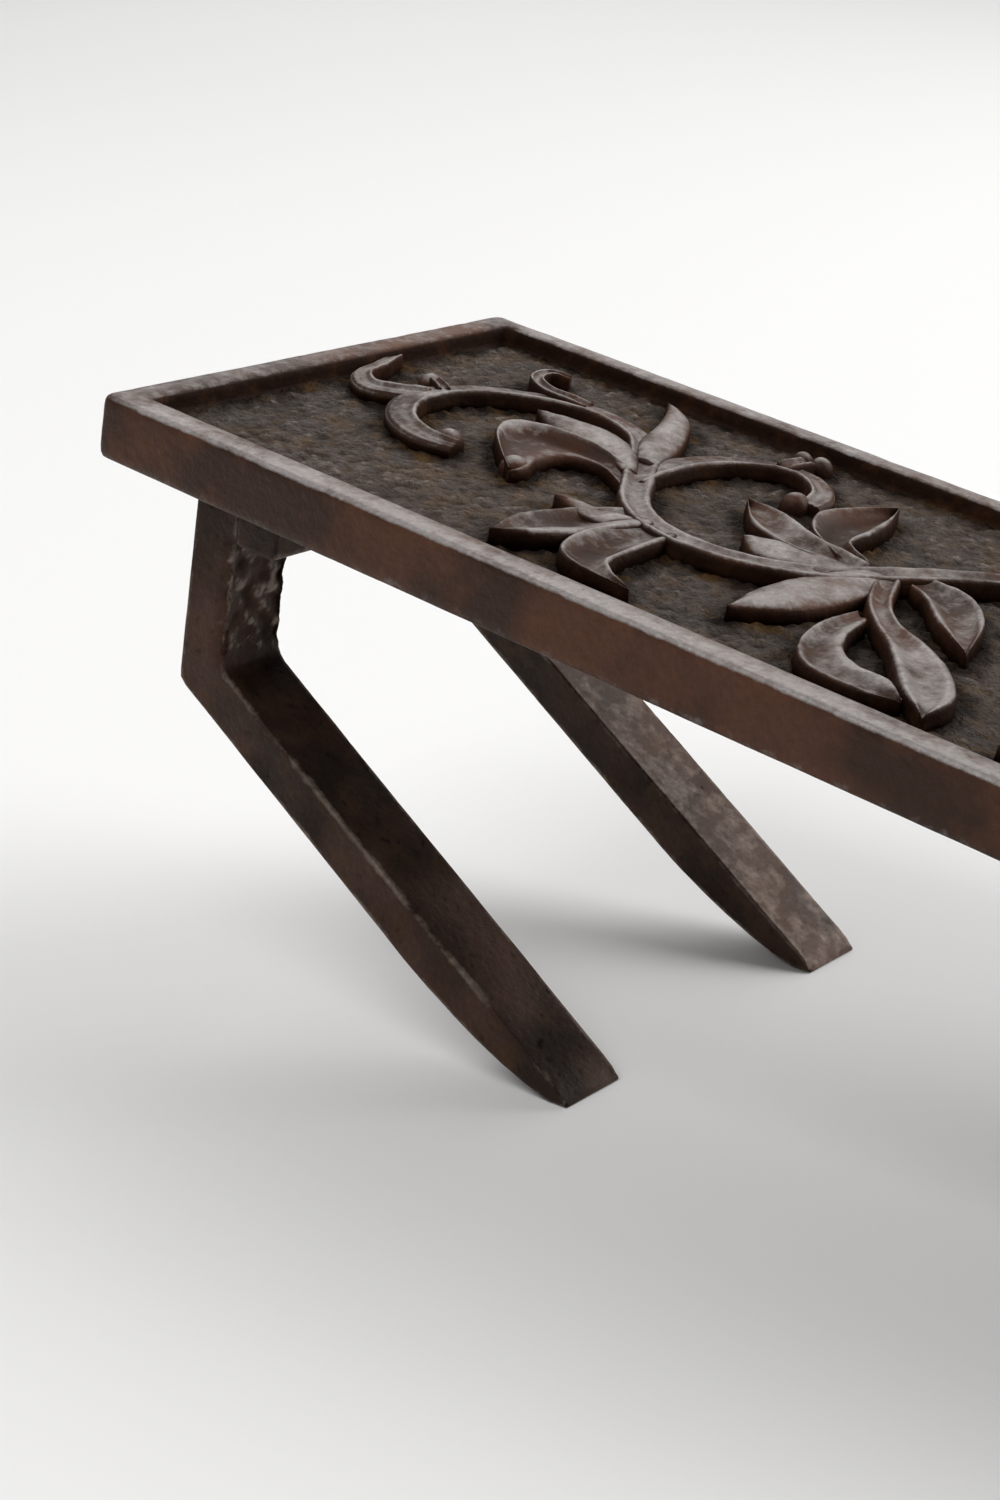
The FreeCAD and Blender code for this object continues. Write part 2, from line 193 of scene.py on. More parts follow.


# %% [markdown]
# ## The iron
# Old cast iron is almost black, with a brown skin of oil and rust. Where it is handled the
# skin is rubbed to a grey satin; where dust lies it is brown and dull. The shader starts from
# the dark skin, lets a slow noise drift its colour, then adds rubbed metal where
# `rub_and_sheen` is high, which on the far prong is a painted highlight. Where `dirt`
# is high it darkens the colour and dims the specular as painted shade, and adds earth brown as
# dust. A fine noise breaks up both borders, and a bump of two scales gives the sand-cast grain.

# %% Helper: node shorthand
def feed(tree, socket, value):
    """Link a socket into an input, or set the input to a plain value."""
    if isinstance(value, bpy.types.NodeSocket):
        tree.links.new(value, socket)
    else:
        socket.default_value = value


def add(tree, kind, **values):
    """A new node; values feed its inputs by name, or else set its own properties."""
    n = tree.nodes.new(kind)
    for key, value in values.items():
        if key in n.inputs:
            feed(tree, n.inputs[key], value)
        else:
            setattr(n, key, value)
    return n


def maths(tree, operation, *values, kind="ShaderNodeMath"):
    n = add(tree, kind, operation=operation)
    for socket, value in zip(n.inputs, values):
        feed(tree, socket, value)
    return n.outputs[0]


# %% Helper: the iron shader
def iron(name, skin, skin_alt, rub_and_sheen_colour, earth, rough, grain, grain_size, rub_and_sheen_gain, patch, shine,
         dust=0.3):
    mat = bpy.data.materials.new(name)
    mat.use_nodes = True
    tree = mat.node_tree
    tree.nodes.clear()
    node, calc = partial(add, tree), partial(maths, tree)

    def cloud(scale, detail, roughness=0.55):
        return node("ShaderNodeTexNoise", Scale=scale, Detail=detail, Roughness=roughness,
                    Vector=place.outputs["Object"]).outputs["Fac"]

    def ramp(value, low, high, to_low=0.0, to_high=1.0):
        return node("ShaderNodeMapRange", clamp=True, **{
            "Value": value, "From Min": low, "From Max": high,
            "To Min": to_low, "To Max": to_high}).outputs["Result"]

    def mix(factor, a, b):
        n = node("ShaderNodeMix", data_type="RGBA")
        for socket, v in ((n.inputs[0], factor), (n.inputs[6], a), (n.inputs[7], b)):
            feed(tree, socket, (*v, 1.0) if isinstance(v, tuple) else v)
        return n.outputs[2]

    place = node("ShaderNodeTexCoord")
    rub_and_sheen = node("ShaderNodeAttribute", attribute_name="rub_and_sheen").outputs["Fac"]
    dirt = node("ShaderNodeAttribute", attribute_name="dirt").outputs["Fac"]

    slow = cloud(55.0, 3.0)
    mottle = cloud(patch, 5.0, 0.65)
    fine = cloud(1400.0, 3.0)
    base = mix(ramp(slow, 0.41, 0.58), skin, skin_alt)
    speck = ramp(mottle, 0.50, 0.72)
    base = mix(calc("MULTIPLY", speck, 0.75), base, earth)
    # Painted shade: the colour darkens towards a third of the skin where dirt is high.
    base = mix(calc("MULTIPLY", dirt, 0.9), base, tuple(0.30 * c for c in skin))
    dust_and_shade = calc("MULTIPLY", dirt, ramp(cloud(260.0, 4.0), 0.50, 0.68))
    base = mix(calc("MULTIPLY", dust_and_shade, dust), base, earth)
    chance = ramp(cloud(420.0, 5.0, 0.7), 0.3, 0.7, -0.28, 0.28)
    wear_and_sheen = calc("ADD", calc("MULTIPLY", rub_and_sheen, rub_and_sheen_gain), chance)
    wear_and_sheen = calc("MULTIPLY", ramp(wear_and_sheen, 0.30, 0.85), ramp(rub_and_sheen, 0.02, 0.25))
    base = mix(wear_and_sheen, base, rub_and_sheen_colour)
    base = mix(ramp(fine, 0.35, 0.7, 0.0, 0.30), base, tuple(0.45 * c for c in skin))

    gloss = calc("ADD", ramp(mottle, 0.3, 0.7, rough - 0.07, rough + 0.09),
                 calc("MULTIPLY", dirt, 0.16))
    pits = ramp(cloud(grain_size, 4.0, 0.6), 0.36, 0.64)
    coarse = node("ShaderNodeBump", Strength=grain, Distance=0.00035, Height=pits)
    bump = node("ShaderNodeBump", Strength=min(1.0, grain), Distance=0.00010, Height=fine,
                Normal=coarse.outputs["Normal"])
    surface = node("ShaderNodeBsdfPrincipled", **{
        "Base Color": base, "Specular Tint": (1.0, 0.82, 0.72, 1.0),
        # The specular is dimmed as painted shade where dirt is high.
        "Specular IOR Level": ramp(dirt, 0.1, 0.9, shine, 0.2 * shine),
        "Metallic": ramp(wear_and_sheen, 0.0, 1.0, 0.06, 0.26),
        "Roughness": calc("SUBTRACT", gloss, calc("MULTIPLY", wear_and_sheen, 0.08)),
        "Normal": bump.outputs["Normal"]})
    node("ShaderNodeOutputMaterial", Surface=surface.outputs["BSDF"])
    print("finish:", name)
    return mat


# %% The finishes
cast_plate = iron("cast_iron_plate", skin=(0.030, 0.0125, 0.0075), skin_alt=(0.084, 0.033, 0.018),
                  rub_and_sheen_colour=(0.280, 0.260, 0.252), earth=(0.100, 0.040, 0.017),
                  rough=0.46, grain=0.22, grain_size=900.0, rub_and_sheen_gain=1.05, patch=110.0,
                  shine=0.31)
cast_ground = iron("cast_iron_ground", skin=(0.024, 0.016, 0.012), skin_alt=(0.044, 0.028, 0.020),
                   rub_and_sheen_colour=(0.205, 0.172, 0.156), earth=(0.115, 0.062, 0.021),
                   rough=0.50, grain=1.0, grain_size=1300.0, rub_and_sheen_gain=0.8, patch=130.0,
                   shine=0.42, dust=0.75)
forged_bar = iron("forged_bar_iron", skin=(0.014, 0.0062, 0.0042), skin_alt=(0.054, 0.0240, 0.0160),
                  rub_and_sheen_colour=(0.19, 0.150, 0.125), earth=(0.070, 0.036, 0.015),
                  rough=0.44, grain=0.18, grain_size=900.0, rub_and_sheen_gain=0.9, patch=190.0,
                  shine=0.25)

# %% [markdown]
# ## The plate's body
# The casting is a slab with a raised rim: near side wide, far side narrow, as the pattern was
# made. A mould leaves no sharp corners, so the edges are drawn as a few rings close together,
# each a rectangle with rounded corners, and a slow wander of a few hundredths of a millimetre
# keeps the long edges from looking machined. Rings stitched to rings are the simplest sound
# way to make such a tray.

# %% The plate's body as a stack of rings
def ring(inset, n, corner=0.8, step=1.6):
    """Points round the plate, inset = (near, far, high end, low end) from its outside."""
    near, far, high_end, low_end = inset
    x0, x1 = high_end, LONG - low_end
    y0, y1 = near, WIDE - far
    pts = []
    along = round((LONG - 2 * corner) / step)
    across = round((WIDE - 2 * corner) / step)
    sides = [((x0 + corner, y0), (x1 - corner, y0), along),
             ((x1, y0 + corner), (x1, y1 - corner), across),
             ((x1 - corner, y1), (x0 + corner, y1), along),
             ((x0, y1 - corner), (x0, y0 + corner), across)]
    centres = [(x1 - corner, y0 + corner), (x1 - corner, y1 - corner),
               (x0 + corner, y1 - corner), (x0 + corner, y0 + corner)]
    for k, (a, b, count) in enumerate(sides):
        for i in range(count):
            t = i / (count - 1)
            pts.append((a[0] + (b[0] - a[0]) * t, a[1] + (b[1] - a[1]) * t, n))
        for i in range(1, 4):
            angle = math.radians(-90 + 90 * k + 90 * i / 4)
            pts.append((centres[k][0] + corner * math.cos(angle),
                        centres[k][1] + corner * math.sin(angle), n))
    return pts


def even(amount):
    """The same inset from all four sides."""
    return (amount,) * 4


def rim(part, extra=0.0):
    """Inset a fraction of the way across the rim, plus a little more."""
    return (RIM["near"] * part + extra, RIM["far"] * part + extra,
            RIM["end"] * part + extra, RIM["end"] * part + extra)


plate_rings = [
    (even(3.3), -THICK + 0.6), (even(3.0), -THICK + 0.05), (even(1.2), -THICK),
    (even(0.6), -THICK + 0.08), (even(0.22), -THICK + 0.32), (even(0.05), -THICK + 0.8),
    (even(0.0), -THICK + 1.7), (even(0.0), -THICK + 3.4), (even(0.0), -3.0), (even(0.0), -1.5),
    (even(0.04), -0.75), (even(0.16), -0.36), (even(0.42), -0.12), (even(0.85), -0.02),
    (rim(0.35), 0.0), (rim(0.6), 0.0), (rim(0.82), -0.05), (rim(0.93), -0.2), (rim(1.0), -0.55),
    (rim(1.0, 0.12), -1.2), (rim(1.0, 0.25), -2.0), (rim(1.0, 0.45), -2.6), (rim(1.0, 2.5), -2.75)]
# Which rings lie where; after RIM_INNER they go down the wall of the recess.
LOW_EDGE, SIDE_WALL = range(4, 6), range(6, 10)
RIM_OUTER, RIM_INNER = range(11, 15), range(15, 18)
EDGE_BAND = 1.5        # a point this near a side settles away from that side
END_BAND = 6.0         # the rims of the two ends, which are touched less
END_SHARE = 0.54


def side_push(value, length):
    """Which way is inward for a point near one of the two ends of a length."""
    if EDGE_BAND <= value <= length - EDGE_BAND:
        return 0
    return 1 if value < length / 2 else -1


points, rub_and_sheen, dirt = [], [], []
for k, (inset, n) in enumerate(plate_rings):
    touched = 1.0 if k in RIM_OUTER else 0.75 if k in RIM_INNER else 0.30 if k in LOW_EDGE else 0.0
    # Painted shade: full on the wall of the recess, 0.4 at the rim's inner edge and a little on the
    # outer sides.
    painted_wall_shade = (1.0 if k >= RIM_INNER.stop else 0.4 if k == RIM_INNER[-1]
              else 0.10 if k in SIDE_WALL else 0.0)
    for p in ring(inset, n, corner=0.9):
        at_end = not END_BAND < p[0] < LONG - END_BAND
        drop = abs(settle(p, 9.0, 0.10, 1.0)) + abs(settle(p, 2.3, 0.05, 2.0))
        inward = Vector((side_push(p[0], LONG), side_push(p[1], WIDE), 0))
        q = Vector(p) + inward * drop * 1.3
        if SIDE_WALL.stop <= k < RIM_INNER.stop:
            q.z -= drop * 0.8
        points.append(q)
        rub_and_sheen.append(touched * (END_SHARE if at_end else 1.0) * (0.8 + 0.35 * speckle(p, 14)))
        dirt.append(painted_wall_shade)
around = len(points) // len(plate_rings)
plate_body = new_piece("plate_body", points, stitched(len(plate_rings), around), rub_and_sheen, dirt)
finish_piece(plate_body, cast_plate, ["top_plate"])

# %% [markdown]
# ## The pebbled ground
# Between the scrolls the mould was stippled, so that the ground looks dark and rough and the
# relief stands out. A stipple is a rule, not a drawing: a Geometry Nodes tree lifts the top of
# a fine grid by a cell pattern (the grains) and a slow noise (the uneven casting). The sheet
# has sides and an underside, so it is a closed tile set into the recess.

# %% Geometry Nodes tree: stippled ground
def socket_id(tree, label):
    for item in tree.interface.items_tree:
        if item.item_type == "SOCKET" and item.in_out == "INPUT" and item.name == label:
            return item.identifier
    raise KeyError(label)


def new_tree(name, inputs):
    tree = bpy.data.node_groups.new(name, "GeometryNodeTree")
    tree.interface.new_socket("Geometry", in_out="INPUT", socket_type="NodeSocketGeometry")
    for label, kind, value in inputs:
        item = tree.interface.new_socket(label, in_out="INPUT", socket_type=kind)
        if value is not None:
            item.default_value = value
    tree.interface.new_socket("Geometry", in_out="OUTPUT", socket_type="NodeSocketGeometry")
    return tree, tree.nodes.new("NodeGroupInput"), tree.nodes.new("NodeGroupOutput")


def bake_tree(piece, tree, settings):
    """Run the tree on the piece, keep the result as a plain mesh, and drop the modifier."""
    modifier = piece.modifiers.new(tree.name, "NODES")
    modifier.node_group = tree
    for label, value in settings.items():
        modifier[socket_id(tree, label)] = value
    graph = bpy.context.evaluated_depsgraph_get()
    made = bpy.data.meshes.new_from_object(piece.evaluated_get(graph))
    piece.modifiers.remove(modifier)
    old = piece.data
    piece.data = made
    bpy.data.meshes.remove(old)
    return piece


def read(tree, name):
    return add(tree, "GeometryNodeInputNamedAttribute", Name=name).outputs[0]


def end_tree(tree, geometry, group_in, group_out):
    """Close the tree: real geometry out of the instances, then the finish."""
    real = add(tree, "GeometryNodeRealizeInstances", Geometry=geometry)
    paint = add(tree, "GeometryNodeSetMaterial", Geometry=real.outputs[0],
                Material=group_in.outputs["Finish"])
    tree.links.new(paint.outputs[0], group_out.inputs[0])


stipple, g_in, g_out = new_tree("stippled_ground", [
    ("Grain Size", "NodeSocketFloat", 1.1), ("Grain Height", "NodeSocketFloat", 0.2),
    ("Unevenness", "NodeSocketFloat", 0.2), ("Seed", "NodeSocketFloat", 4.0),
    ("Finish", "NodeSocketMaterial", None)])
where = add(stipple, "GeometryNodeInputPosition").outputs[0]
size = maths(stipple, "DIVIDE", where, g_in.outputs["Grain Size"], kind="ShaderNodeVectorMath")
cells = add(stipple, "ShaderNodeTexVoronoi", voronoi_dimensions="4D", feature="SMOOTH_F1",
            Scale=1.0, Smoothness=0.18, Vector=size, W=g_in.outputs["Seed"])
swell = add(stipple, "ShaderNodeTexNoise", noise_dimensions="4D", Scale=0.16,
            Vector=where, W=g_in.outputs["Seed"])
# grains: tall in the middle of each cell, on top of a slow swell
grain = maths(stipple, "MULTIPLY_ADD", cells.outputs["Distance"], -1.3, 1.0)
grain = maths(stipple, "MULTIPLY", grain, g_in.outputs["Grain Height"])
lift = maths(stipple, "MULTIPLY_ADD", swell.outputs[0], g_in.outputs["Unevenness"], grain)
lift = maths(stipple, "MULTIPLY", lift, read(stipple, "dirt"))      # dirt is 1 on the top only
upward = add(stipple, "ShaderNodeCombineXYZ", Z=lift)
move = add(stipple, "GeometryNodeSetPosition", Geometry=g_in.outputs[0],
           Offset=upward.outputs[0])
end_tree(stipple, move.outputs[0], g_in, g_out)
print("tree:", stipple.name, len(stipple.nodes), "nodes")


# %% The tile of stippled ground
def tile(name, s0, s1, y0, y1, top, under, step):
    """A closed tile on the flat board, fine on top; dirt = 1 marks the top's points."""
    nx, ny = round((s1 - s0) / step) + 1, round((y1 - y0) / step) + 1
    pts = [(s0 + (s1 - s0) * i / (nx - 1), y0 + (y1 - y0) * j / (ny - 1), top)
           for j in range(ny) for i in range(nx)]
    quads = [(j * nx + i, j * nx + i + 1, (j + 1) * nx + i + 1, (j + 1) * nx + i)
             for j in range(ny - 1) for i in range(nx - 1)]
    edge = (list(range(nx)) + [j * nx + nx - 1 for j in range(1, ny)]
            + [(ny - 1) * nx + i for i in range(nx - 2, -1, -1)]
            + [j * nx for j in range(ny - 2, 0, -1)])
    first = len(pts)
    pts += [(pts[i][0], pts[i][1], under) for i in edge]
    for k in range(len(edge)):
        m = (k + 1) % len(edge)
        quads.append((edge[m], edge[k], first + k, first + m))
    quads.append(tuple(first + k for k in reversed(range(len(edge)))))
    marks = [1.0] * first + [0.0] * len(edge)
    return new_piece(name, pts, quads, rub_and_sheen=[0.0] * len(pts), dirt=marks, stand=False)


TUCK = 0.2             # the tile runs this far under the rim on every side
GRID = 0.425           # mm between the points of the grid
ground = tile("recess_ground", RIM["end"] - TUCK, LONG - RIM["end"] + TUCK,
              RIM["near"] - TUCK, WIDE - RIM["far"] + TUCK,
              GROUND - 0.44, GROUND - 1.2, GRID)
bake_tree(ground, stipple, {"Grain Size": 1.3, "Grain Height": 0.66, "Unevenness": 0.24,
                            "Seed": 4.0, "Finish": cast_ground})
print("ground rises to", round(max(v.co.z for v in ground.data.vertices), 2), "mm below the rim")

# %% [markdown]
# ## The rough back
# The underside never shows in use, so the founder left it as it came out of the sand: uneven,
# with coarse grains. The same tree makes it on a tile turned face down.

# %% The back of the plate
EDGE = 3.05            # the slab's own rounded edge shows round the tile
back = tile("plate_back", EDGE, LONG - EDGE, EDGE, WIDE - EDGE, 0.0, -0.55, 0.6)
bake_tree(back, stipple, {"Grain Size": 2.1, "Grain Height": 0.22, "Unevenness": 0.25,
                          "Seed": 9.0, "Finish": cast_ground})
tallest = max(v.co.z for v in back.data.vertices)
for v in back.data.vertices:                 # face down, the tallest grain level with the back
    v.co.z = -THICK + tallest - v.co.z + 0.02
    back.data.attributes["dirt"].data[v.index].value = 0.25 + 0.5 * speckle(v.co, 11)
back.data.flip_normals()
back.data.transform(STAND)
finish_piece(back, cast_ground, ["top_plate"])

# %% [markdown]
# ## Scroll stems
# The stems are ribbons of metal that follow flowing lines, with a lip along the outside of the
# curl and a hollow inside it. That is work for Geometry Nodes: the middle line is a thin mesh
# with its half width stored at each point, the section is another, and Curve to Mesh sweeps
# one along the other. The section is flat during the sweep, so a wide stem is no taller than
# a narrow one; the heights are put on afterwards from the section's stored `rise`.

# %% Half of the pattern: middle lines, widths, which side the lip is on
# (points, half widths, lip side: 1 left of the direction of travel, -1 right, 0 both)
STEMS = {
    "trunk": ([(47.5, 46), (52.5, 38), (57, 31.6), (63, 27.6), (70, 26.8), (77, 29),
               (83, 34), (87, 40), (92, 47), (98, 53), (105, 56.5), (111.5, 56),
               (115.5, 51.5), (114.8, 46.5), (111, 44.4)],
              [2.2, 2.1, 2, 2, 2, 2, 2.1, 2.2, 2.1, 1.9, 1.8, 1.7, 1.5, 1.3, 1.0], 0.3),
    "high_scroll": ([(51.4, 38.4), (50.6, 44), (51.0, 50.4), (53.4, 56), (58, 60.4), (63, 60.4),
                     (67, 56.6), (68, 52.6)], [1.7, 2.3, 2.4, 2.3, 2.1, 1.9, 1.6, 1.2], 1),
    "low_scroll": ([(47, 47), (42, 52.6), (35, 55.4), (28, 54.4), (21.6, 50), (17.6, 43.6),
                    (17.6, 36.6), (21.4, 30.4), (27, 27.4), (32, 28.2)],
                   [2, 2, 2.1, 2.2, 2.3, 2.4, 2.2, 1.9, 1.6, 1.1], -1),
    "hook_curl": ([(31, 56), (25, 55.6), (20.8, 58), (20, 61.4), (22.6, 63)],
                  [1.2, 1.1, 1.0, 0.95, 0.8], 0),
    "end_tendril": ([(4.4, 48.4), (6.2, 43.4), (7.6, 38.4), (11.4, 35.6), (15.4, 38), (17.4, 41)],
                    [1.1, 1.35, 1.4, 1.4, 1.4, 1.3], -1),
    "pear_lobe": ([(87.6, 39), (91.4, 31), (95.6, 26), (100.6, 22.4), (105, 18), (108.6, 13),
                   (110.8, 8.4)], [1.5, 1.5, 1.6, 2.5, 3.2, 2.8, 0.4], 0),
    "knob_neck": ([(58.6, 60.4), (59.4, 65)], [1.3, 1.2], 0),
    "bead_neck": ([(17.6, 43), (14.2, 44.8)], [0.9, 0.8], 0),
}
# half of the one section, from its edge to near the middle: (across, rise, lip share)
HALF_SECTION = [(-1.07, -0.25, 0), (-1.05, 0.2, 0), (-1.01, 0.62, 0.3), (-0.97, 0.80, 0.8),
                (-0.90, 0.93, 1.0), (-0.80, 0.99, 1.0), (-0.69, 1.0, 1.0), (-0.57, 0.95, 0.95),
                (-0.42, 0.84, 0.7), (-0.22, 0.76, 0.35)]
SECTION = HALF_SECTION + [(0.0, 0.73, 0)] + [(-a, r, s) for a, r, s in reversed(HALF_SECTION)]
POINT_STEP = 0.55      # mm between points along a stem or a leaf
print(len(STEMS), "stems in half of the pattern")


# %% Wire meshes for the middle lines and for the section
def wire(name, runs, closed=False):
    """Thin mesh of edges. runs: lists of (point, {attribute: value})."""
    pts, edges, values = [], [], {}
    for run in runs:
        first = len(pts)
        for p, facts in run:
            pts.append(tuple(p))
            for key, v in facts.items():
                values.setdefault(key, []).append(v)
        edges += [(first + i, first + i + 1) for i in range(len(run) - 1)]
        if closed:
            edges.append((len(pts) - 1, first))
    mesh = bpy.data.meshes.new(name)
    mesh.from_pydata(pts, edges, [])
    for key, vs in values.items():
        mesh.attributes.new(key, "FLOAT", "POINT").data.foreach_set("value", vs)
    return placed(name, mesh)


runs = []
for mid, halves, lip in STEMS.values():
    count = max(8, round(path_length(flat(mid)) / POINT_STEP))
    line = smooth_path(flat(mid), count)
    girth = smooth_path([(h, 0, 0) for h in halves], count)
    run = []
    for k, (p, g) in enumerate(zip(line, girth)):
        end = min(k, count - 1 - k) / (count - 1)
        fade = 0.86 + 0.14 * min(1, end * 9)             # the ends sink a little
        run.append((p, {"half_width": g.x, "lip_side": float(lip), "fade": fade}))
    runs.append(run)
stem_lines = wire("scroll_stems", runs)
stem_section = wire("stem_section", [[((a, 0, 0), {"rise": r, "across": a, "share": s})
                                      for a, r, s in SECTION]], closed=True)
print(sum(len(r) for r in runs), "points along the stems")

# %% Geometry Nodes tree: sweep a section along the stems
sweep, g_in, g_out = new_tree("swept_stem", [
    ("Section", "NodeSocketObject", None), ("Height", "NodeSocketFloat", 2.2),
    ("Ground", "NodeSocketFloat", -2.3), ("Lip", "NodeSocketFloat", 0.12),
    ("Finish", "NodeSocketMaterial", None)])
line = add(sweep, "GeometryNodeMeshToCurve", Mesh=g_in.outputs[0])
upright = add(sweep, "GeometryNodeSetCurveNormal", mode="Z_UP", Curve=line.outputs[0])
fetch = add(sweep, "GeometryNodeObjectInfo", Object=g_in.outputs["Section"])
outline = add(sweep, "GeometryNodeMeshToCurve", Mesh=fetch.outputs["Geometry"])
swept = add(sweep, "GeometryNodeCurveToMesh", **{
    "Curve": upright.outputs[0], "Profile Curve": outline.outputs[0],
    "Scale": read(sweep, "half_width"), "Fill Caps": True})

times = partial(maths, sweep, "MULTIPLY")
# height = ground + Height * fade * (rise + Lip * share * (across * side - |side|))
side, share = read(sweep, "lip_side"), read(sweep, "share")
tilt = times(times(times(read(sweep, "across"), side), share), g_in.outputs["Lip"])
lipped = times(maths(sweep, "ABSOLUTE", side), times(g_in.outputs["Lip"], share))
rise = maths(sweep, "SUBTRACT", maths(sweep, "ADD", read(sweep, "rise"), tilt), lipped)
level = maths(sweep, "MULTIPLY_ADD", times(rise, read(sweep, "fade")),
              g_in.outputs["Height"], g_in.outputs["Ground"])
here = add(sweep, "GeometryNodeInputPosition")
split = add(sweep, "ShaderNodeSeparateXYZ", Vector=here.outputs[0])
join = add(sweep, "ShaderNodeCombineXYZ", X=split.outputs["X"], Y=split.outputs["Y"], Z=level)
put = add(sweep, "GeometryNodeSetPosition", Geometry=swept.outputs[0], Position=join.outputs[0])
end_tree(sweep, put.outputs[0], g_in, g_out)
print("tree:", sweep.name, len(sweep.nodes), "nodes")

# %% Sweep the stems
bake_tree(stem_lines, sweep, {"Section": stem_section, "Height": TOP - GROUND, "Ground": GROUND,
                              "Lip": 0.20, "Finish": cast_plate})
bpy.data.objects.remove(stem_section)
print("swept stems:", len(stem_lines.data.polygons), "faces")

# %% [markdown]
# ## Leaves
# A leaf is a patch between two edges that start at its root and meet at its tip. Across it the
# metal follows one of five sections: a valley with raised edges or a deeper one, a ridge with a
# soft crest, a fold that is hollow beside its high edge, or a half that rises to one side. Near
# the tip everything sinks a little. A grid of points lofted between the two edges is the direct
# way to make this, with the outermost rows turned down as the leaf's sides.

# %% Half of the pattern: the leaves
LEAVES = {
    "spear_up": ([(47, 45), (43, 51), (40.4, 58), (37.6, 64), (35.6, 67)],
                 [(50, 45), (48.2, 52), (45.2, 58.4), (41.4, 64), (35.6, 67)], "ridge"),
    "blade_in": ([(50.5, 40.6), (46.6, 46), (41.6, 49.6), (35.6, 50.2), (29, 47.8)],
                 [(48.6, 40), (44.6, 42.4), (39, 43.4), (34, 44.6), (29, 47.8)], "ridge"),
    "trumpet": ([(49.5, 41), (42, 43.8), (34.6, 44), (30.2, 41.2), (31.6, 36.4), (36, 31.6),
                 (41.4, 27)],
                [(53, 34.6), (47.4, 38.4), (43.4, 38.6), (41.2, 36.4), (41, 33), (42.2, 29.6),
                 (41.4, 27)], "fold"),
    "fan_left": ([(57.6, 30.2), (53.2, 22), (52, 15.4), (53.4, 8.8)],
                 [(62.6, 27.8), (60.4, 19.4), (58.2, 13), (53.4, 8.8)], "half"),
    "fan_top": ([(61, 28.0), (55, 26.2), (50.2, 24.6)],
                [(59, 23), (55, 23), (50.2, 24.6)], "ridge"),
    "fan_right": ([(60.6, 28.4), (59.6, 17.4), (61.6, 11.2), (66, 8.7), (73.6, 8.4)],
                  [(66.4, 27.2), (66.8, 19), (67.2, 13.8), (69.4, 10.8), (73.6, 8.4)], "valley"),
    "inner_high": ([(84, 41), (76.4, 42), (69.6, 45), (63.2, 45.8)],
                   [(83, 36), (75, 36.4), (68.4, 39), (63.2, 45.8)], "valley"),
    "inner_low": ([(84, 38.4), (77.4, 38.4), (73, 37), (70.4, 34.4)],
                  [(83, 33), (78, 31.8), (73.4, 31.8), (70.4, 34.4)], "ridge"),
    "fold_leaf": ([(80, 39.6), (74, 43.6), (70.9, 49.6), (72.6, 55), (75.4, 61)],
                  [(84, 41), (79.4, 44), (78.8, 50.4), (77.6, 56), (75.4, 61)], "deep"),
    "spear_down": ([(84, 39), (81.6, 31), (80.8, 22), (82.2, 14.4)],
                   [(89, 39), (89, 31), (87.2, 21.6), (82.2, 14.4)], "ridge"),
    "side_leaf": ([(90, 43.4), (97, 42), (102, 36), (105, 27)],
                  [(90.5, 39), (94, 36.4), (98.6, 31.6), (105, 27)], "valley"),
    "pear_leaf": ([(91, 27), (90.6, 20), (92.4, 13), (96.6, 8.4), (103.4, 7.9), (107.6, 9.6)],
                  [(93.6, 25), (94.8, 19.4), (97, 15.2), (100.4, 12.9), (104.4, 12.6),
                   (107.6, 9.6)], "half"),
}
MIDDLE_LEAVES = {
    "middle_spear": ([(122, 22), (118.6, 34), (119.6, 48), (125, 66)],
                     [(128, 22), (131.4, 34), (130.4, 48), (125, 66)], "valley"),
    "middle_foot": ([(119, 9.6), (121.6, 17), (122.4, 24), (125, 27)],
                    [(131, 9.6), (128.4, 17), (127.6, 24), (125, 27)], "ridge"),
}


def both_sides(half):
    """A section that is alike on both sides, from its left half and its middle."""
    return half + half[-2::-1]


# Height of each section from left edge to right, 0 at the ground and 1 at the rim's level,
# at the places across the leaf given by ACROSS.
LEFT = [-1, -0.95, -0.88, -0.79, -0.68, -0.54, -0.37, -0.19]
ACROSS = LEFT + [0] + [-t for t in reversed(LEFT)]
LEAF_SECTIONS = {
    "valley": both_sides([0.78, 0.92, 0.98, 0.96, 0.86, 0.74, 0.65, 0.60, 0.58]),
    "deep": both_sides([0.80, 0.94, 1.0, 0.95, 0.78, 0.58, 0.45, 0.38, 0.35]),
    "ridge": [0.60, 0.72, 0.79, 0.84, 0.89, 0.94, 0.98, 1.0, 1.0,
              0.98, 0.94, 0.90, 0.86, 0.81, 0.76, 0.69, 0.58],
    "fold": [0.80, 0.95, 1.0, 0.95, 0.74, 0.52, 0.42, 0.40, 0.43,
             0.49, 0.56, 0.63, 0.69, 0.73, 0.74, 0.71, 0.62],
    "half": [0.66, 0.80, 0.86, 0.84, 0.76, 0.66, 0.60, 0.60, 0.66,
             0.76, 0.87, 0.95, 0.99, 1.0, 0.96, 0.88, 0.72],
}
print(len(LEAVES), "leaves in half of the pattern,", len(MIDDLE_LEAVES), "in the middle")


# %% Loft the leaves
SKIRT = 0.5            # a leaf's turned-down sides end this far below the ground


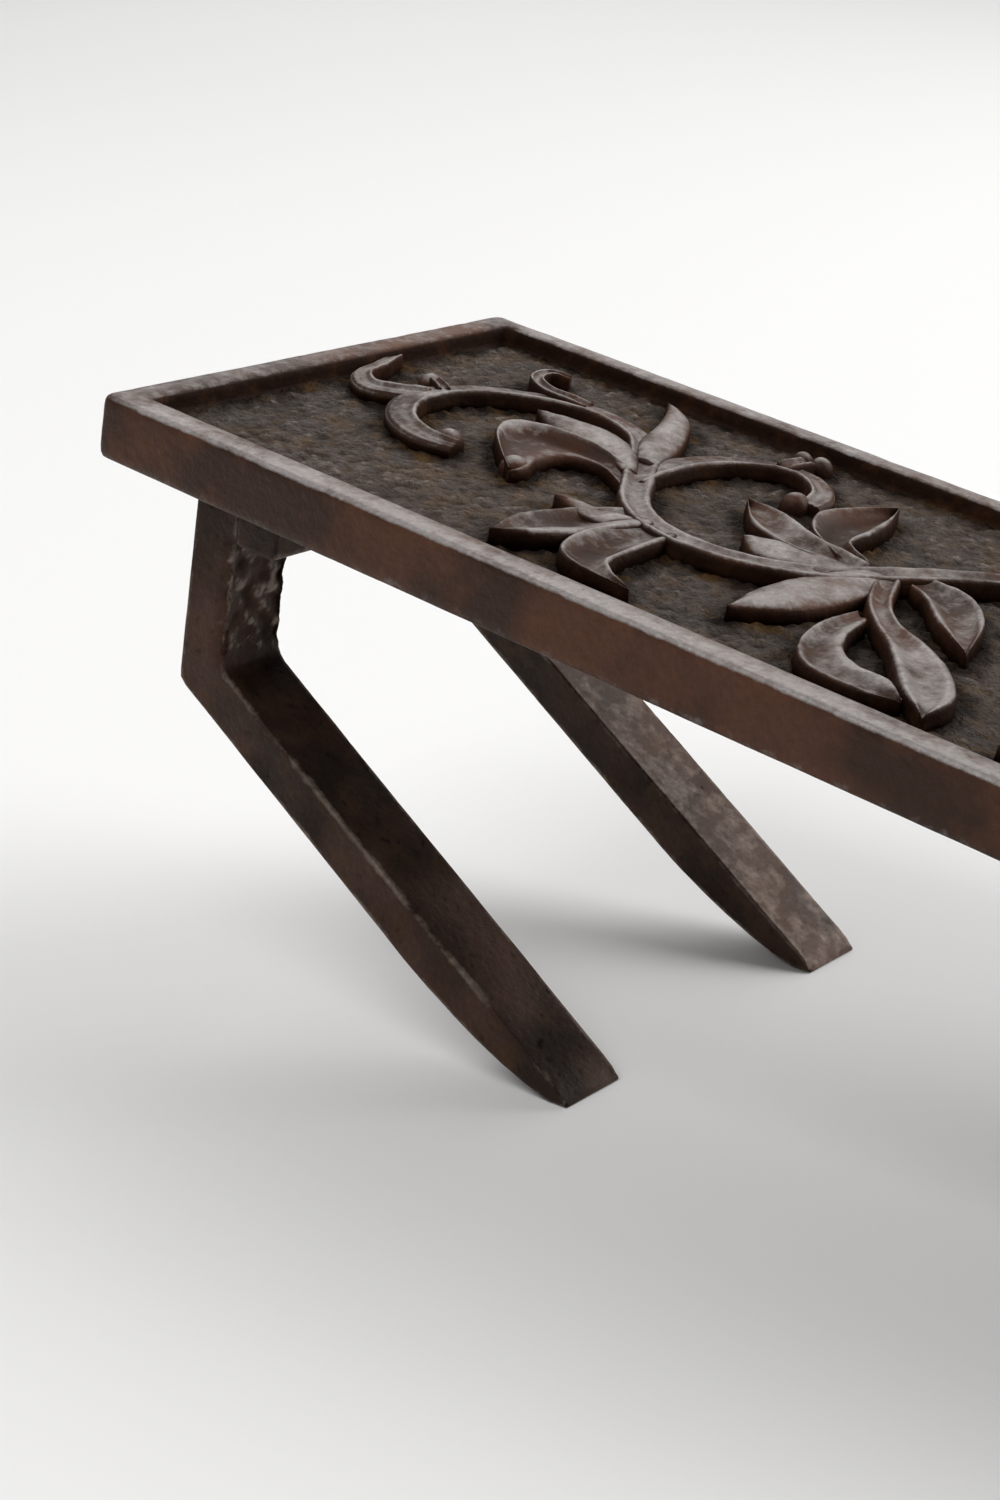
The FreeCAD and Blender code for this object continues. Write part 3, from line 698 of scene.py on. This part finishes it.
def loft_leaf(left, right, kind, points, faces, dip=0.07):
    """Add one leaf to the lists; dip is how far its belly is pressed in near the root."""
    left, right = flat(left), flat(right)
    rows = max(14, round(max(path_length(left), path_length(right)) / POINT_STEP))
    a, b = smooth_path(left, rows), smooth_path(right, rows)
    first, wide = len(points), len(ACROSS) + 2
    for k in range(rows):
        u = k / (rows - 1)
        p, q = a[k], b[k]
        if k == rows - 1:                      # the tip keeps a hair of width
            p, q = p.lerp(a[k - 1], 0.25), q.lerp(b[k - 1], 0.25)
        sink = 1.0 - 0.16 * max(0.0, (u - 0.7) / 0.3) ** 2 - 0.10 * max(0.0, (0.2 - u) / 0.2)
        flare = (p - q).normalized() * 0.22
        points.append((*(p + flare).xy, GROUND - SKIRT))
        for t, h in zip(ACROSS, LEAF_SECTIONS[kind]):
            r = p.lerp(q, (t + 1) / 2)
            h = (0.9 + (h - 0.9) * math.sin(math.pi * min(1.0, 0.12 + 1.5 * u)) ** 0.6
                 if u < 0.26 else h)           # the hollow starts a little way from the root
            wave = 0.025 * math.sin(u * 17 + 2.2 * t) * (1 - abs(t))
            wave -= dip * math.exp(-((u - 0.36) / 0.16) ** 2) * (1 - t * t)
            points.append((r.x, r.y, GROUND + (TOP - GROUND) * (h * sink + wave)))
        points.append((*(q - flare).xy, GROUND - SKIRT))
    faces += stitched(rows, wide, first)


leaf_points, leaf_faces = [], []
for name, leaf in LEAVES.items():
    loft_leaf(*leaf, leaf_points, leaf_faces, 0.26 if name.startswith("fan") else 0.07)
leaf_half = new_piece("relief_leaves", leaf_points, leaf_faces, stand=False)
middle_points, middle_faces = [], []
for leaf in MIDDLE_LEAVES.values():
    loft_leaf(*leaf, middle_points, middle_faces)
middle_half = new_piece("relief_middle", middle_points, middle_faces, stand=False)
print("leaf points:", len(leaf_points), "+", len(middle_points))

# %% [markdown]
# ## Beads
# Each scroll ends in a round bead. They differ only in size, so a second Geometry Nodes tree
# sets one small turned dome on every marked point, scaled by the `size` stored there.

# %% Geometry Nodes tree: domes on points
studs, g_in, g_out = new_tree("domes_on_points", [
    ("Dome", "NodeSocketObject", None), ("Finish", "NodeSocketMaterial", None)])
fetch = add(studs, "GeometryNodeObjectInfo", **{
    "Object": g_in.outputs["Dome"], "As Instance": True})
spots = add(studs, "GeometryNodeInstanceOnPoints", Points=g_in.outputs[0],
            Instance=fetch.outputs["Geometry"], Scale=read(studs, "size"))
end_tree(studs, spots.outputs[0], g_in, g_out)


def turned(name, outline, steps):
    """A closed turned shape about Z from (radius, height) points, top first."""
    pts = [(0, 0, outline[0][1])]
    for r, z in outline[1:]:
        for k in range(steps):
            angle = 2 * math.pi * k / steps
            pts.append((r * math.cos(angle), r * math.sin(angle), z))
    faces = [(0, 1 + k, 1 + (k + 1) % steps) for k in range(steps)]
    for row in range(len(outline) - 2):
        a, b = 1 + row * steps, 1 + (row + 1) * steps
        for k in range(steps):
            m = (k + 1) % steps
            faces.append((a + k, b + k, b + m, a + m))
    last = 1 + (len(outline) - 2) * steps
    faces.append(tuple(last + k for k in reversed(range(steps))))
    return new_piece(name, pts, faces, stand=False)


print("tree:", studs.name, len(studs.nodes), "nodes")

# %% Set the beads
BEADS = [(66, 52.4, 2.0), (29.4, 30.2, 2.0), (57.5, 66.7, 1.6), (60.1, 67.0, 1.7), (13.6, 45, 1.8),
         (110.6, 46.6, 1.5), (39.8, 30.2, 2.0)]
bead = turned("bead_dome", [(0, 1.0), (0.18, 0.985), (0.38, 0.93), (0.58, 0.83), (0.75, 0.68),
                            (0.88, 0.48), (0.96, 0.22), (1.0, -0.1), (1.02, -0.5)], 28)
bead_points = wire("relief_beads", [[((x, y, GROUND), {"size": r})] for x, y, r in BEADS])
bake_tree(bead_points, studs, {"Dome": bead, "Finish": cast_plate})
bpy.data.objects.remove(bead)
for v in bead_points.data.vertices:          # beads of any width are as tall as the rim
    near_bead = min(BEADS, key=lambda b: (v.co.x - b[0]) ** 2 + (v.co.y - b[1]) ** 2)
    v.co.z = GROUND + (v.co.z - GROUND) * (TOP - GROUND) / near_bead[2]
print(len(BEADS), "beads,", len(bead_points.data.polygons), "faces")

# %% [markdown]
# ## Painted shade in the corners
# The ground is painted dark as shade at the foot of the relief, in the corner under the rim
# and between the grains, with brown dust in the same places, while the open ground stays
# clean. The distance from each point of the ground to the nearest wall says how dark it is; the
# tops of the grains are rubbed a little.

# %% Rub, painted shade and dust on the ground
WALL_FOOT = 0.5        # points of the relief lower than this are the foot of a wall
SHELTER = 3.4          # mm from a wall where the painted shade and the dust thin out
walls = []
for piece in (stem_lines, leaf_half, bead_points, middle_half):
    for v in piece.data.vertices:
        if v.co.z < GROUND + WALL_FOOT:
            walls += [(v.co.x, v.co.y), (LONG - v.co.x, v.co.y)]
finder = kdtree.KDTree(len(walls))
for k, (x, y) in enumerate(walls):
    finder.insert((x, y, 0), k)
finder.balance()
wear_and_sheen, dust_and_shade = wear_and_shade_layers(ground.data)
for v in ground.data.vertices:
    near = finder.find((v.co.x, v.co.y, 0))[2]
    near = min(near, v.co.x - RIM["end"], LONG - RIM["end"] - v.co.x,
               v.co.y - RIM["near"], WIDE - RIM["far"] - v.co.y)
    # Painted shade, with dust: dark near the walls and between the grains; the grain tops are
    # rubbed.
    corner = clamp(1.1 - near / SHELTER + 0.6 * speckle(v.co, 3.2))
    high = (v.co.z - GROUND + 0.28) / 0.4          # 0 between the grains, 1 on their tops
    wear_and_sheen[v.index].value = clamp(0.9 * (high - 0.35), high=0.7) * (1 - corner)
    dust_and_shade[v.index].value = max(corner, min(0.6, 0.45 - 0.6 * high))
ground.data.transform(STAND)
finish_piece(ground, cast_ground, ["top_plate"])

# %% [markdown]
# ## The relief as one casting skin
# The other half of the pattern is this half seen in a mirror, so the meshes are copied and
# turned over; turning them over also turns their faces inside out, so the faces are flipped
# back. Then every point moves by a few hundredths of a millimetre, as sand and wear leave it,
# gets its rub from its height and from how far up it faces, and gets painted shade, with
# some dust, on its low parts and on the sides that do not face up.

# %% Mirror, roughen and finish the relief
def mirrored(piece):
    bm = bmesh.new()
    bm.from_mesh(piece.data)
    bmesh.ops.recalc_face_normals(bm, faces=bm.faces)
    copy = bmesh.ops.duplicate(bm, geom=bm.verts[:] + bm.edges[:] + bm.faces[:])["geom"]
    twins = [g for g in copy if isinstance(g, bmesh.types.BMVert)]
    for v in twins:
        v.co.x = LONG - v.co.x
    bmesh.ops.reverse_faces(bm, faces=[g for g in copy if isinstance(g, bmesh.types.BMFace)])
    bm.to_mesh(piece.data)
    bm.free()


def cast_skin(piece, seed):
    mesh = piece.data
    mesh.update()
    normals = [v.normal.copy() for v in mesh.vertices]
    wear_and_sheen, dust_and_shade = wear_and_shade_layers(mesh)
    for v, up in zip(mesh.vertices, normals):
        p = v.co.copy()
        share = clamp((p.z - GROUND) / (TOP - GROUND))
        v.co += up * (settle(p, 1.7, 0.07, seed) + settle(p, 0.7, 0.03, seed + 3) - 0.02)
        v.co.z = min(v.co.z, -0.02)
        facing = max(0.0, up.z)
        patchy = 0.80 + 0.5 * speckle(p, 7, seed, 2, 4)
        wear_and_sheen[v.index].value = patchy * share ** 1.3 * (0.1 + 0.9 * facing ** 2)
        # Painted shade, with some dust: dark on the low parts and on the sides that do not face up.
        dust_and_shade[v.index].value = min(1.0, max((1 - share) ** 0.9, 0.95 * (1 - facing)))
    mesh.transform(STAND)


for piece, seed in ((stem_lines, 1.0), (leaf_half, 2.0), (bead_points, 3.0)):
    mirrored(piece)
    cast_skin(piece, seed)
    finish_piece(piece, cast_plate, ["top_plate"])
cast_skin(middle_half, 4.0)
finish_piece(middle_half, cast_plate, ["top_plate"])

# %% [markdown]
# ## Forged bars
# The prongs are flat bar, heated and bent over the anvil's edge, with the arm's underside drawn
# down to a chisel tip. A bar is lofted along its length: at each station the section is a
# rectangle with small rounded corners between the bar's inner and outer line. Hammering leaves
# flats of a few millimetres and the edges are never quite straight, so a slow wander and a
# cell pattern move the surface inward. Rounded corners carry the `rub_and_sheen`, where bright
# metal shows as a thin worn line. The near prong is painted darker as shade, most on the face
# that looks up along its arm, which lies in the plate's shadow; the same face of the far prong
# is painted bright as a highlight.

# %% Helper: a bar from a row of rings
def box_ring(place, s0, s1, h0, h1, corner=0.5, flats=(24, 16), bend=5):
    """A rounded rectangle, s0..s1 by h0..h1; place(s, h) puts each point in the board's frame."""
    r = corner
    corners = [(s1 - r, h0 + r, -90), (s1 - r, h1 - r, 0),
               (s0 + r, h1 - r, 90), (s0 + r, h0 + r, 180)]
    pts, marks = [], []
    for k, (cs, ch, start) in enumerate(corners):
        for i in range(bend + 1):
            angle = math.radians(start + 90 * i / bend)
            pts.append((cs + r * math.cos(angle), ch + r * math.sin(angle)))
            marks.append(1.0)
        cs, ch, start = corners[(k + 1) % 4]
        angle = math.radians(start)
        a, b = Vector(pts[-1]), Vector((cs + r * math.cos(angle), ch + r * math.sin(angle)))
        count = flats[1] if k % 2 == 0 else flats[0]
        for i in range(1, count):
            pts.append(tuple(a.lerp(b, i / count)))
            marks.append(0.45 if i in (1, count - 1) else 0.0)
    return [place(*p) for p in pts], marks


def bar(name, rings, marks, seed, dents=0.07, scar=None, painted_shade=0.0, painted_highlight=0.0):
    """Skin the rings, close both ends with a soft edge, then hammer the surface inward."""
    for end in (0, -1):                    # soft ends: smaller rings on the end face
        middle = sum(rings[end], Vector()) / len(rings[end])
        shrunk = [p.lerp(middle, 0.16) for p in rings[end]]
        tight = [p.lerp(middle, 0.55) for p in rings[end]]
        rings = [tight, shrunk] + rings if end == 0 else rings + [shrunk, tight]
    points = [p for one in rings for p in one]
    rub_and_sheen = [0.1 * m if k in (0, 1, len(rings) - 2, len(rings) - 1) else m
           for k in range(len(rings)) for m in marks]
    piece = new_piece(name, points, stitched(len(rings), len(marks)), rub_and_sheen, stand=False)
    outward(piece)
    normals = [v.normal.copy() for v in piece.data.vertices]
    wear_and_sheen, dust_and_shade = wear_and_shade_layers(piece.data)
    for v, out in zip(piece.data.vertices, normals):
        p = v.co.copy()
        pit = max(0.0, speckle(p, 0.9, 0, seed, 3) - 0.40)
        depth = dents * (0.5 + 0.5 * speckle(p, 4.6, seed, 0, 0)) + 0.12 * pit
        shine = wear_and_sheen[v.index].value * max(0.0, 0.56 + 0.6 * speckle(p, 9, seed, 1, 1))
        # Painted shade: painted_shade darkens the whole near prong a little and its face that looks
        # up along the arm fully.
        soot_and_shade = 0.25 * painted_shade
        if min(out.x, out.z) > 0.3:        # the side that faces up along the arm
            spots = speckle(p, 1.6, 4, seed, 9) + speckle(p, 5, seed, 6, 2)
            # Painted highlight on the far prong's face that looks up along the arm; the next line
            # paints the near prong's face dark as shade.
            shine = max(shine, painted_highlight * min(1.0, 0.82 + 0.55 * spots))
            soot_and_shade = painted_shade
        soot_and_shade = min(1.0, 1.4 * pit + max(0.0, soot_and_shade + 0.5 * speckle(p, 7, 3, seed, 1)))
        share = scar(p) if scar else 0.0
        if share > 0:
            lump = 0.5 + 0.5 * speckle(p, 1.9, seed, 5, 2)
            small = 0.5 + 0.5 * speckle(p, 0.75, 2, seed, 8)
            depth += share * ((1 - lump) + 0.4 * (1 - small))
            shine = max(shine, share * (0.5 * lump + max(0.0, 6.0 * (lump * small - 0.33))))
            soot_and_shade = max(soot_and_shade, share * 1.6 * max(0.0, 0.6 - lump))
        wear_and_sheen[v.index].value, dust_and_shade[v.index].value = shine, soot_and_shade
        v.co -= out * depth
    piece.data.transform(STAND)
    return piece


def floor_under(s):
    """Depth n of the floor below the plate at s."""
    return (s * math.sin(TIP) - cad_high.z * 1000) / math.cos(TIP)


def outward(piece):
    bm = bmesh.new()
    bm.from_mesh(piece.data)
    bmesh.ops.recalc_face_normals(bm, faces=bm.faces)
    bm.to_mesh(piece.data)
    bm.free()
    piece.data.update()


print("a bar's ring has", len(box_ring(lambda a, b: (a, b, 0), 0, 10, 0, 6)[0]), "points")

# %% The two prongs
# Matching corners of the prong's outer and inner lines, in (s, n): down from the plate, round
# the bend, along the arm, and out to the chisel tip.
OUTER = [(11.0, -8.1), (11.0, -33.4), (11.15, -34.5), (12.2, -35.4), (32.0, -45.6),
         (52.0, -55.9), (56.2, -57.85), (60.2, -59.5), (64.4, -61.05), (68.5, -62.3),
         (72.2, -63.15), (75.4, -63.65), (77.4, -63.45), (78.5, -63.22)]
INNER = [(18.1, -8.1), (18.15, -30.2), (18.4, -31.1), (19.2, -31.8), (38.0, -41.6),
         (55.2, -50.4), (59.2, -52.45), (63.0, -54.4), (66.8, -56.4), (70.4, -58.25),
         (73.4, -59.8), (75.8, -61.0), (77.3, -61.9), (78.1, -62.7)]


def matched(outer, inner, step):
    """The same number of evenly spaced points along both lines."""
    a, b = [], []
    for k in range(len(outer) - 1):
        p, q, r, s = (Vector(v) for v in (outer[k], outer[k + 1], inner[k], inner[k + 1]))
        count = max(1, round(((q - p).length + (s - r).length) / 2 / step))
        a += [p.lerp(q, i / count) for i in range(count)]
        b += [r.lerp(s, i / count) for i in range(count)]
    return a + [Vector(outer[-1])], b + [Vector(inner[-1])]


# The braze: from s to s on the upright's inner face, and from n down to n.
BRAZE = {"s_from": 16.2, "s_to": 19.0, "top": -13.0, "foot": -31.0}


def brazed(p):
    """Where braze metal was left: the inner face of the upright, from the bar to the bend."""
    if not BRAZE["s_from"] <= p.x <= BRAZE["s_to"]:
        return 0.0
    return (clamp((p.z - BRAZE["foot"]) / 2.5) * clamp((BRAZE["top"] - p.z) / 1.5)
            * clamp((p.x - BRAZE["s_from"]) / 1.6))


PRONG_STEP, BAR_STEP = 0.42, 0.6       # mm between the rings of a prong and of the other bars
outer_line, inner_line = matched(OUTER, INNER, PRONG_STEP)
SIDE, PRONG = 6.5, 10.4
# The near prong gets painted shade, as its upper face lies in the plate's shadow, and the far prong
# a painted highlight on that face.
for name, y0, seed, painted_shade, painted_highlight in (("prong_near", SIDE, 1.5, 0.38, 0.0),
                                      ("prong_far", WIDE - SIDE - PRONG, 7.5, 0.0, 0.54)):
    rings = []
    for p, q in zip(outer_line, inner_line):
        way, thick_here = (q - p).normalized(), (q - p).length
        ring_here, marks = box_ring(lambda y, h: Vector((p.x + way.x * h, y, p.y + way.y * h)),
                                    y0, y0 + PRONG, 0.0, thick_here,
                                    corner=min(0.36, thick_here * 0.4), flats=(22, 14))
        rings.append(ring_here)
    prong = bar(name + "_forged", rings, marks, seed, scar=brazed, painted_shade=painted_shade, painted_highlight=painted_highlight)
    finish_piece(prong, forged_bar, [name])

# %% [markdown]
# ## Cross bar, foot and rivets
# A square bar ties the prongs together under the plate. The foot is one flat bar bent down
# twice, its ends cut level with the floor. Both are held by rivets whose heads show on the
# underside: a low dome, set by the same tree that set the beads.

# %% The cross bar
BAR = {"start": 18.1, "side": 6.4}     # it starts at the prongs' inner faces
bar_low = -THICK - BAR["side"]
y_near, y_far = SIDE, WIDE - SIDE
rings = []
steps = round((y_far - y_near) / BAR_STEP)
for k in range(steps + 1):
    y = y_near + (y_far - y_near) * k / steps
    ring_here, marks = box_ring(lambda a, h: Vector((a, y, h)),
                                BAR["start"], BAR["start"] + BAR["side"],
                                bar_low, -THICK, corner=0.55, flats=(12, 12))
    rings.append(ring_here)
cross_bar = bar("cross_bar_forged", rings, marks, 3.0, dents=0.10)
finish_piece(cross_bar, forged_bar, ["cross_bar"])

# %% The foot: a flat bar bent down twice
FOOT = {"start": 228.0, "wide": 13.0, "thick": 6.4, "bend": 4.0}
FOOT_LOW, FOOT_TOP = floor_under(FOOT["start"]) - 0.02, -THICK - FOOT["thick"] - 1.0


def seated(s, n):
    """Stretch the legs so that every edge of the strap ends on the floor."""
    if n >= FOOT_TOP:
        return n
    return FOOT_TOP + (n - FOOT_TOP) * (floor_under(s) + 0.03 - FOOT_TOP) / (FOOT_LOW - FOOT_TOP)


def foot_lines():
    """Outer and inner line of the strap, in (y, n), from one toe up, across and down again."""
    top, r, t = -THICK, FOOT["bend"], FOOT["thick"]
    outer = [(y_near, FOOT_LOW), (y_near, FOOT_TOP), (y_near, top - r)]
    inner = [(y_near + t, FOOT_LOW), (y_near + t, FOOT_TOP - 0.4), (y_near + t, top - t - 0.6)]
    for k in range(1, 7):
        angle = math.radians(180 - 90 * k / 6)
        outer.append((y_near + r + r * math.cos(angle), top - r + r * math.sin(angle)))
        inner.append((y_near + t + 0.6 * (1 + math.cos(angle)),
                      top - t - 0.6 * (1 - math.sin(angle))))
    return tuple(line + [(y_near + y_far - y, n) for y, n in reversed(line)]
                 for line in (outer, inner))


outer_foot, inner_foot = matched(*foot_lines(), BAR_STEP)
rings = []
for o, i_ in zip(outer_foot, inner_foot):
    way, deep = (i_ - o).normalized(), (i_ - o).length
    ring_here, marks = box_ring(lambda a, h: Vector((a, o.x + way.x * h, o.y + way.y * h)),
                                FOOT["start"], FOOT["start"] + FOOT["wide"], 0.0, deep,
                                corner=0.5, flats=(18, 12))
    rings.append([Vector((p.x, p.y, seated(p.x, p.z))) for p in ring_here])
foot = bar("foot_strap_forged", rings, marks, 11.0, dents=0.09)
lowest = min(v.co.z for v in foot.data.vertices)
finish_piece(foot, forged_bar, ["foot_strap"])
print("foot's lowest point above the floor, mm:", round(1000 * lowest, 3))

# %% The rivet heads
RIVET_IN = 24.0        # from each long side of the plate
head = turned("rivet_dome", [(0, 2.2), (0.7, 2.13), (1.5, 1.88), (2.3, 1.45), (3.1, 0.98),
                             (3.7, 0.6), (4.1, 0.22), (4.18, 0.0), (4.0, -0.3)], 32)
rivet_spots = wire("rivets_peened", [[((s, y, 0), {"size": 1.0})]
                                     for s in (BAR["start"] + BAR["side"] / 2,
                                               FOOT["start"] + FOOT["wide"] / 2)
                                     for y in (RIVET_IN, WIDE - RIVET_IN)])
bake_tree(rivet_spots, studs, {"Dome": head, "Finish": forged_bar})
bpy.data.objects.remove(head)
for v in rivet_spots.data.vertices:        # heads hang below the bars, with hammer flats
    v.co.z = bar_low - v.co.z + 0.03 * speckle(v.co, 1.4)
outward(rivet_spots)
for layer, value in zip(wear_and_shade_layers(rivet_spots.data), (0.35, 0.1)):
    layer.foreach_set("value", [value] * len(layer))
rivet_spots.data.transform(STAND)
finish_piece(rivet_spots, forged_bar, ["rivets"])

# %% [markdown]
# ## Stage, light and camera
# The object stands on pale paper. Two window lamps behind it and low over the paper throw its
# broad, soft shadow towards the viewer, two weaker lamps in the room keep the dark sides
# readable, and one more brightens the paper far behind. The floor is one large plane.

# %% The floor
floor_mesh = bpy.data.meshes.new("studio_floor")
HALF = 24.0
floor_mesh.from_pydata([(-HALF, -HALF, 0), (HALF, -HALF, 0), (HALF, HALF, 0), (-HALF, HALF, 0)],
                       [], [(0, 1, 2, 3)])
floor = placed("studio_floor", floor_mesh)
paper = bpy.data.materials.new("pale_paper")
paper.use_nodes = True
matt = paper.node_tree.nodes["Principled BSDF"].inputs
matt["Base Color"].default_value = (0.80, 0.795, 0.79, 1)
matt["Roughness"].default_value = 0.9
floor_mesh.materials.append(paper)

# %% The lights
world = bpy.data.worlds.new("studio_air")
bpy.context.scene.world = world
world.use_nodes = True
air = world.node_tree.nodes["Background"].inputs
air["Color"].default_value = (1.0, 0.997, 0.992, 1)
air["Strength"].default_value = 0.08


def soft_lamp(name, where, aim, size, power):
    data = bpy.data.lights.new(name, "AREA")
    data.size, data.energy = size, power
    lamp = placed(name, data)
    lamp.location = where
    lamp.rotation_euler = (Vector(aim) - Vector(where)).to_track_quat("-Z", "Y").to_euler()


# name, place, aim, size in metres, watts
soft_lamp("window_behind", (0.52, 1.12, 1.32), (0, 0, 0), 2.0, 14.0)
soft_lamp("window_low", (1.10, 1.22, 1.02), (0, 0, 0), 1.6, 27.0)
soft_lamp("room_front", (0.0, -1.03, 1.47), (0, 0, 0), 1.2, 14.0)
soft_lamp("room_left", (-1.09, -0.40, 1.38), (0, 0, 0), 1.6, 9.0)
soft_lamp("paper_behind", (-1.75, 2.1, 1.7), (-1.75, 2.1, 0), 2.2, 35.0)

# %% The camera
camera_data = bpy.data.cameras.new("camera")
camera_data.sensor_width, camera_data.lens = 36.0, 65.5
camera_data.clip_start, camera_data.clip_end = 0.01, 20.0
camera = placed("camera", camera_data)
camera.location = (0.1180, -0.2578, 0.1377)
camera.rotation_euler = (math.radians(71.8), 0.0, math.radians(39.09))
bpy.context.scene.camera = camera
bpy.context.scene.view_settings.view_transform = "Standard"
bpy.context.scene.view_settings.look = "None"
print("camera at", tuple(round(v, 3) for v in camera.location))
